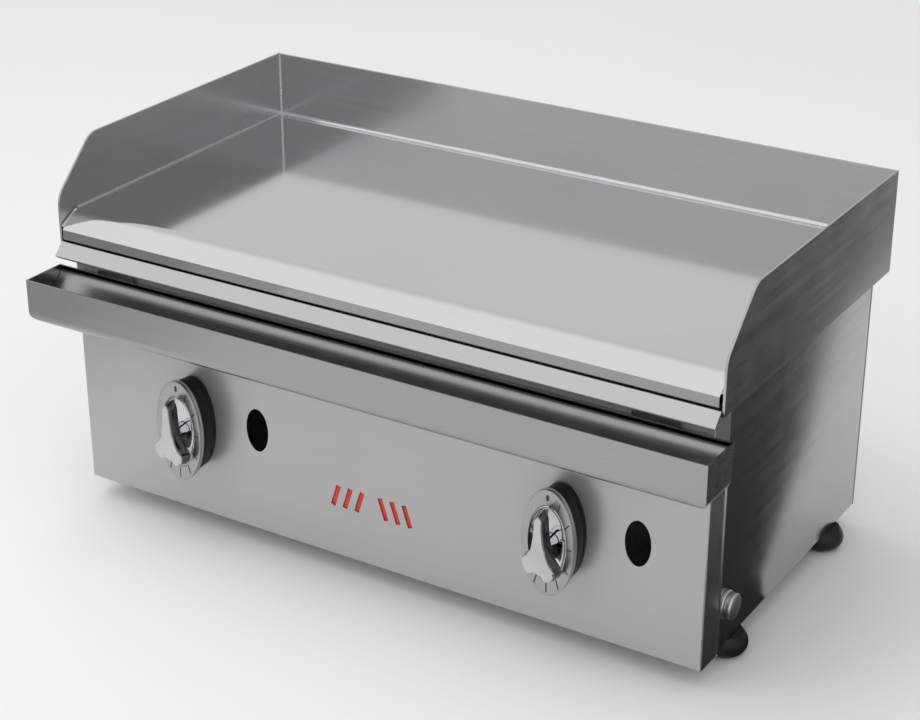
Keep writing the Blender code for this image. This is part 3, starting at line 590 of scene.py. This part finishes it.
def grip(side, sign):
    """The bell-shaped handle: a chrome flank darkened with painted shade, a pale and slightly
    hollow crown, and a round stem.
    """
    outline = grip_outline()
    turn = knob_place(sign)
    low = DIAL_FACE + 0.0045
    foot = low + 0.0014
    shoulder = DIAL_FACE + GRIP_REACH - 0.0030
    crown_rise = 0.0026

    def level(height, across, along):
        """The outline at a height, with its width and length times these shares."""
        return [turn @ Vector((point.x * across, point.y * along, height)) for point in outline]

    flank = [level(low, 0.90, 0.95), level(low + 0.0007, 0.95, 0.98)]
    for i in range(9):
        t = i / 8
        flank.append(level(foot + (shoulder - foot) * t, 0.97 - 0.09 * t, 1.0 - 0.05 * t))
    # the flank wears the chrome darkened with painted shade
    body = finished_piece(
        f"{side}_grip_body", lofted(flank), "shade_painted_chrome", f"{side}_knob", 60
    )

    crown = [level(shoulder - 0.0008, 0.86, 0.93), level(shoulder, 0.89, 0.955)]
    for i in range(1, 7):
        a = math.radians(90 * i / 6)
        inward = 1 - math.cos(a)
        height = shoulder + crown_rise * math.sin(a)
        crown.append(level(height, 0.89 - 0.11 * inward, 0.955 - 0.045 * inward))
    # (share of the width, share of the length, depth) of the hollow in the crown
    hollow = (
        (0.66, 0.84, 0.0004),
        (0.45, 0.66, 0.0007),
        (0.22, 0.38, 0.0009),
        (0.05, 0.08, 0.0010),
    )
    for across, along, drop in hollow:
        crown.append(level(shoulder + crown_rise - drop, across, along))
    handle = finished_piece(
        f"{side}_grip_handle", lofted(crown), "grip_chrome", f"{side}_knob", 60
    )

    bore, stem, collar = 0.0043, 0.0075, 0.0086
    stem_low = DIAL_FACE - 0.0103
    profile = [(bore, stem_low), (stem, stem_low), (stem, low - 0.0012)]
    profile += [(stem + 0.0003, low - 0.0004), (collar, low + 0.0002)]
    profile += [(collar, low + 0.003), (bore, low + 0.003)]
    bm = lathed(profile, Vector(), turn, 48)
    stalk = finished_piece(f"{side}_grip_stem", bm, "chrome", f"{side}_knob")
    for piece in (body, handle, stalk):
        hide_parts(f"{side}_knob_grip")


def dial_marks(side, sign):
    """Printed ticks clockwise from the top and an index dot, a hair proud of the ring."""
    turn = knob_place(sign)
    low = DIAL_FACE - 0.0002
    high = DIAL_FACE + 0.00006
    tick_start, tick_end = 0.735, 0.93  # shares of the dial
    tick_half_width = 0.00070
    dot_half_width, dot_half_height, dot_up = 0.0018, 0.0038, 0.0512
    bm = bmesh.new()
    for k in range(1, 8):
        a = math.radians(30 * k)
        rim = Vector((math.sin(a) * DIAL_HALF_WIDTH, math.cos(a) * DIAL_HALF_HEIGHT, 0))
        inner, outer = rim * tick_start, rim * tick_end
        along = (outer - inner).normalized()
        across = Vector((along.y, -along.x, 0)) * tick_half_width
        corners = []
        for level in (low, high):
            for point in (inner - across, outer - across, outer + across, inner + across):
                corners.append(bm.verts.new(turn @ Vector((point.x, point.y, level))))
        bm.faces.new(corners[:4])
        bm.faces.new(corners[4:])
        for i in range(4):
            j = (i + 1) % 4
            bm.faces.new((corners[i], corners[j], corners[4 + j], corners[4 + i]))
    finished_piece(f"{side}_dial_ticks", bm, "ink", "root")
    disc = [(0.0, low), (1.0, low), (1.0, high), (0.0, high)]
    place = turn @ Matrix.Translation((0, dot_up, 0))
    place = place @ Matrix.Diagonal((dot_half_width, dot_half_height, 1.0, 1.0))
    bm = lathed(disc, Vector(), place, 24)
    finished_piece(f"{side}_index_dot", bm, "ink", "root")


# ---------------------------------------------------------------- small fittings


def foot_domes():
    """Rubber feet with a swollen belly and a narrower neck under the cabinet."""
    for side in ("left", "right"):
        for end in ("front", "rear"):
            low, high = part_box(f"{side}_{end}_foot")
            centre = ((low.x + high.x) / 2, (low.y + high.y) / 2, 0.0)
            radius = (high.x - low.x) / 2
            top = high.z
            belly = 0.0125
            bolt, recess, recess_top = 0.0038, 0.0075, 0.010
            profile = [(bolt, top), (radius * 0.78, top), (radius * 0.82, top - 0.0015)]
            profile += [(radius * 0.90, top - 0.004)]
            profile += arc((radius - belly, belly), belly, 25, -80, 12)
            profile += [(0.0150, 0.0), (0.0082, 0.0), (recess, 0.0008)]
            profile += [(recess, recess_top), (bolt, recess_top)]
            bm = lathed(profile, Vector(centre), Matrix.Identity(4), 64)
            piece = finished_piece(f"{side}_{end}_foot_dome", bm, "rubber", "root")
            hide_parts(f"{side}_{end}_foot")


def pipe_plug():
    """The chromed cap on the right: a flange, a neck and a lightly domed head."""
    low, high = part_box("manifold_plug")
    centre = Vector((SIDE_PANEL_X, (low.y + high.y) / 2, (low.z + high.z) / 2))
    flange, neck = 0.0152, 0.0110
    profile = [(0.0, -0.0007), (flange, -0.0007), (flange, 0.0026)]
    profile += arc((0.0138, 0.0026), 0.0014, 0, 90, 4)
    profile += [(neck, 0.0045), (neck, 0.0065), (0.0134, 0.0069)]
    profile += arc((0.0118, 0.0098), 0.0022, -20, 75, 6)
    profile += [(0.0080, 0.0130), (0.0035, 0.0134), (0.0, 0.0135)]
    bm = lathed(profile, centre, TOWARDS_RIGHT, 64)
    piece = finished_piece("pipe_plug_cap", bm, "plug", "root", 40)
    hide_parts("manifold_plug")


def eased(corner, before, after, radius, steps):
    """Points on the arc that rounds a corner of an outline, with one on the flat at each end."""
    corner, before, after = Vector(corner), Vector(before), Vector(after)
    back = (before - corner).normalized()
    on = (after - corner).normalized()
    half = back.angle(on) / 2
    reach = radius / math.tan(half)
    centre = corner + (back + on).normalized() * (radius / math.sin(half))
    start = corner + back * reach - centre
    end = corner + on * reach - centre
    sweep = start.angle(end)
    flat = 0.0003
    points = [corner + back * (reach + flat)]
    for i in range(steps + 1):
        t = i / steps
        across = start * math.sin((1 - t) * sweep) + end * math.sin(t * sweep)
        points.append(centre + across / math.sin(sweep))
    points.append(corner + on * (reach + flat))
    return points


def rounded_plate():
    """The griddle plate with its front rolled down smoothly into the lip."""
    low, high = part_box("griddle_plate")
    fold_radius, edge_radius, foot_radius = 0.032, 0.0012, 0.0008
    back = (high.y, high.z)
    crest = (PLATE_LIP_BACK_Y, high.z)
    lip = (low.y, low.z + PLATE_THICK)
    foot = (low.y, low.z)
    heel = (PLATE_LIP_BACK_Y + PLATE_THICK / 2, high.z - PLATE_THICK)
    section = [back]
    section += eased(crest, back, lip, fold_radius, 12)
    section += eased(lip, crest, foot, edge_radius, 4)
    section += eased(foot, lip, heel, foot_radius, 5)
    section += [heel, (high.y, high.z - PLATE_THICK)]
    stations = (low.x, low.x / 2, 0.0, high.x / 2, high.x)
    rings = [[Vector((x, y, z)) for y, z in section] for x in stations]
    piece = finished_piece(
        "griddle_plate_rolled", lofted(rings), "plate", "root", 30
    )
    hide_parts("griddle_plate")


def fillet_bead(name, start, end, into, up, size, look="dull_weld"):
    """A hollow-faced, slightly uneven bead in the corner between two faces, from start to end."""
    start, end, into, up = Vector(start), Vector(end), Vector(into), Vector(up)
    width, height = size
    section = [(0.0, 0.0), (width, 0.0)]
    for i in range(1, 6):
        a = math.radians(90 * i / 6)
        section.append((width * (1 - math.sin(a)), height * (1 - math.cos(a))))
    section.append((0.0, height))
    steps = 60
    rings = []
    for k in range(steps + 1):
        ripple = 1 + 0.05 * math.sin(k * 1.7) + 0.03 * math.sin(k * 0.63)
        at = start.lerp(end, k / steps)
        rings.append([at + into * (u * ripple) + up * (v * ripple) for u, v in section])
    finished_piece(name, lofted(rings), look, "root", 50)


def plate_beads():
    """Where the plate and its lip meet the walls, and the upright corners of the guard."""
    z = PLATE_TOP_Z
    front = PLATE_LIP_BACK_Y + 0.010
    forward, upward = (0, -1, 0), (0, 0, 1)
    off_lip = (0, -0.665, 0.747)  # square to the lip's slope
    lip_end_y, lip_end_z = -0.1790, 0.3335
    fillet_bead(
        "rear_plate_bead",
        (-WALL_X, WALL_Y, z),
        (WALL_X, WALL_Y, z),
        forward,
        upward,
        (0.0042, 0.0036),
        "weld",
    )
    for side, sign in SIDES:
        x = sign * WALL_X
        inward = (-sign, 0, 0)
        fillet_bead(
            f"{side}_plate_bead",
            (x, front, z - 0.0004),
            (x, WALL_Y, z),
            inward,
            upward,
            (0.0046, 0.0026),
        )
        fillet_bead(
            f"{side}_corner_bead",
            (x, WALL_Y, z + 0.002),
            (x, WALL_Y, WALL_TOP_Z - 0.0005),
            inward,
            forward,
            (0.0020, 0.0020),
        )
        fillet_bead(
            f"{side}_lip_bead",
            (x, front - 0.001, z - 0.0008),
            (x, lip_end_y, lip_end_z),
            inward,
            off_lip,
            (0.0046, 0.0022),
        )


def tray_trough():
    """The rounded inside of the tray: a hollow sheet from the back wall down to the front one."""
    low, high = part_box("grease_tray")
    wall = 0.0016
    gap = 0.0004
    sheet = 0.0012
    half = high.x - wall - gap
    back = TRAY_BACK_Y - wall
    front = low.y + wall + gap
    rim = 0.2845
    upright = 0.0030  # straight part under the rim
    deep = 0.020
    reach = back - front
    round_steps = 16
    halves = 20
    section = [(back, rim)]
    for i in range(round_steps + 1):
        a = math.radians(90 * i / round_steps)
        section.append((front + reach * math.cos(a), rim - upright - deep * math.sin(a)))
    under = [(y, z - sheet) for y, z in reversed(section[1:])]
    rings = []
    for k in range(-halves, halves + 1):
        rings.append([Vector((half * k / halves, y, z)) for y, z in section + under])
    finished_piece("tray_trough", lofted(rings), "tray_inside", "tray", 40)


def seam_edge():
    """The bright cut edge of the front panel's flange, at the seam with the right side panel."""
    low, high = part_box("front_panel")
    x = high.x
    y = high.y - 0.0008
    section = [(-0.0008, -0.0009), (0.0010, -0.0009), (0.0012, -0.0004)]
    section += [(0.0009, 0.0006), (-0.0008, 0.0010)]
    heights = (low.z + 0.001, 0.14, 0.24)
    rings = [[Vector((x + u, y + v, z)) for u, v in section] for z in heights]
    finished_piece("right_seam_edge", lofted(rings), "weld", "root", 50)


def rear_screws():
    """Screws that hold the rear panel: crowned heads with a small dimple."""
    low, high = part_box("rear_panel")
    head, sunk, skirt = 0.0038, -0.0006, 0.0006
    profile = [(0.0, sunk), (head, sunk), (head, skirt)]
    profile += arc((0.0022, skirt), 0.0016, 0, 80, 5)
    profile += [(0.0012, 0.00225), (0.0, 0.0010)]
    rows = (("bottom", low.z + 0.014), ("top", high.z - 0.026))
    for i, x in enumerate((-0.365, -0.122, 0.122, 0.365), 1):
        for row, z in rows:
            bm = lathed(profile, Vector((x, high.y, z)), TOWARDS_BACK, 28)
            finished_piece(f"rear_screw_{i}_{row}", bm, "screw", "root")


# ---------------------------------------------------------------- studio


def stage_object(name, bm, material):
    mesh = bpy.data.meshes.new(name)
    bm.to_mesh(mesh)
    bm.free()
    mesh.materials.append(material)
    obj = bpy.data.objects.new(name, mesh)
    bpy.context.scene.collection.objects.link(obj)
    return obj


def pale_floor():
    """A wide off-white floor."""
    finish = Finish("studio_floor", (0.90, 0.90, 0.90), 0.0, 0.75)
    clouds = finish.noise(1.2, (1, 1, 1), 3.0)
    finish.paint(finish.tint(finish.remap(clouds, 0, 1), 0.006))
    finish.gloss(finish.remap(clouds, 0.70, 0.80))
    finish.shader.inputs["Specular IOR Level"].default_value = 0.15
    bm = bmesh.new()
    bmesh.ops.create_circle(bm, cap_ends=True, segments=96, radius=9.0)
    stage_object("studio_floor", bm, finish.material)


def card(name, corners, height, shade):
    """A flat card above the floor that only shows in reflections, as a photographer's flag does."""
    finish = Finish(name, (shade, shade, shade), 0.0, 0.9)
    speckle = finish.noise(4.0, (1, 1, 1), 2.0)
    finish.paint(finish.tint(finish.remap(speckle, 0, 1), 0.05))
    finish.shader.inputs["Specular IOR Level"].default_value = 0.0
    bm = bmesh.new()
    bm.faces.new([bm.verts.new((x, y, height)) for x, y in corners])
    obj = stage_object(name, bm, finish.material)
    obj.visible_camera = False
    obj.visible_diffuse = False
    obj.visible_shadow = False


def flags():
    """The right side and the foot of the guard mirror the dark card, the front the grey ones."""
    near_x, far_x, front_y, back_y = 0.389, 0.98, -0.40, 1.40
    corners = [(near_x, front_y), (0.95, front_y), (far_x, back_y), (0.74, back_y)]
    corners += [(0.70, 1.25), (0.64, 0.80), (0.565, 0.56), (0.512, 0.395)]
    corners += [(0.448, 0.155), (0.425, 0.07), (0.405, 0.03), (near_x, 0.015)]
    card("dark_flag_right", corners, 0.002, 0.065)
    left_x, front_y, back_y = -3.5, -2.5, 0.4
    greys = (("grey_flag_left", -0.50, 0.002, 0.66), ("grey_flag_far_left", -0.66, 0.003, 0.50))
    for name, edge, height, shade in greys:
        corners = [(edge, front_y), (edge - 0.10, back_y), (left_x, back_y), (left_x, front_y)]
        card(name, corners, height, shade)


def soft_world():
    """A white surround, dimmer towards the back and a little brighter overhead.

    The camera itself sees it plain white.
    """
    world = bpy.data.worlds.new("soft_surround")
    bpy.context.scene.world = world
    world.use_nodes = True
    tree = world.node_tree
    ground = tree.nodes["Background"]
    coords = tree.nodes.new("ShaderNodeTexCoord")

    def lobe(direction, low, high, amount):
        """An amount that fades in as the direction's cosine goes from low to high."""
        dot = tree.nodes.new("ShaderNodeVectorMath")
        dot.operation = "DOT_PRODUCT"
        dot.inputs[1].default_value = Vector(direction).normalized()
        tree.links.new(coords.outputs["Generated"], dot.inputs[0])
        ramp = tree.nodes.new("ShaderNodeMapRange")
        ramp.interpolation_type = "SMOOTHSTEP"
        ramp.inputs["From Min"].default_value = low
        ramp.inputs["From Max"].default_value = high
        ramp.inputs["To Min"].default_value = 0.0
        ramp.inputs["To Max"].default_value = amount
        tree.links.new(dot.outputs["Value"], ramp.inputs["Value"])
        return ramp.outputs["Result"]

    def add(first, second):
        total = tree.nodes.new("ShaderNodeMath")
        total.operation = "ADD"
        for socket, value in zip(total.inputs, (first, second)):
            if isinstance(value, float):
                socket.default_value = value
            else:
                tree.links.new(value, socket)
        return total.outputs["Value"]

    back_right, overhead, back_left = (0.60, 0.70, 0.35), (-0.3, -0.2, 1.0), (-0.5, 0.75, 0.42)
    shade = add(0.90, lobe(back_right, 0.55, 0.95, -0.55))
    shade = add(shade, lobe(overhead, 0.60, 0.95, 0.06))
    shade = add(shade, lobe(back_left, 0.80, 0.98, -0.20))
    rays = tree.nodes.new("ShaderNodeLightPath")
    seen = tree.nodes.new("ShaderNodeMix")
    seen.data_type = "FLOAT"
    tree.links.new(rays.outputs["Is Camera Ray"], seen.inputs[0])
    tree.links.new(shade, seen.inputs[2])
    seen.inputs[3].default_value = 1.0
    tree.links.new(seen.outputs[0], ground.inputs["Strength"])
    ground.inputs["Color"].default_value = (1.0, 1.0, 1.0, 1.0)


def soft_light(name, place, target, size, energy):
    light = bpy.data.lights.new(name, "AREA")
    light.shape = "RECTANGLE"
    light.size, light.size_y = size
    light.energy = energy
    obj = bpy.data.objects.new(name, light)
    obj.location = place
    aim = Vector(target) - Vector(place)
    obj.rotation_euler = aim.to_track_quat("-Z", "Y").to_euler()
    bpy.context.scene.collection.objects.link(obj)
    return obj


def lights():
    """Two soft lights that leave no reflection of their own."""
    top = soft_light("overhead_softbox", (-0.6, -0.5, 2.6), (0, 0, 0.3), (2.2, 1.6), 16)
    left = soft_light("front_left_softbox", (-2.2, -2.4, 1.6), (0, 0, 0.2), (1.6, 1.6), 9)
    for light in (top, left):
        light.visible_glossy = False


def camera():
    """The photograph's viewpoint, fitted to the long edges of the object."""
    tilt, heading = 64.88, 31.77
    data = bpy.data.cameras.new("photo_view")
    data.lens = 81.9
    data.sensor_width = 36.0
    obj = bpy.data.objects.new("photo_view", data)
    obj.location = (1.096, -1.764, 1.173)
    obj.rotation_euler = (math.radians(tilt), 0.0, math.radians(heading))
    bpy.context.scene.collection.objects.link(obj)
    bpy.context.scene.camera = obj


# ---------------------------------------------------------------- assembly


def build():
    dress_cad()
    for side, sign in SIDES:
        housing(side, sign)
        dial(side, sign)
        bowl(side, sign)
        grip(side, sign)
        dial_marks(side, sign)
    foot_domes()
    pipe_plug()
    rounded_plate()
    plate_beads()
    tray_trough()
    seam_edge()
    rear_screws()
    pale_floor()
    flags()
    soft_world()
    lights()
    camera()
    bpy.context.scene.view_settings.view_transform = "Standard"


build()
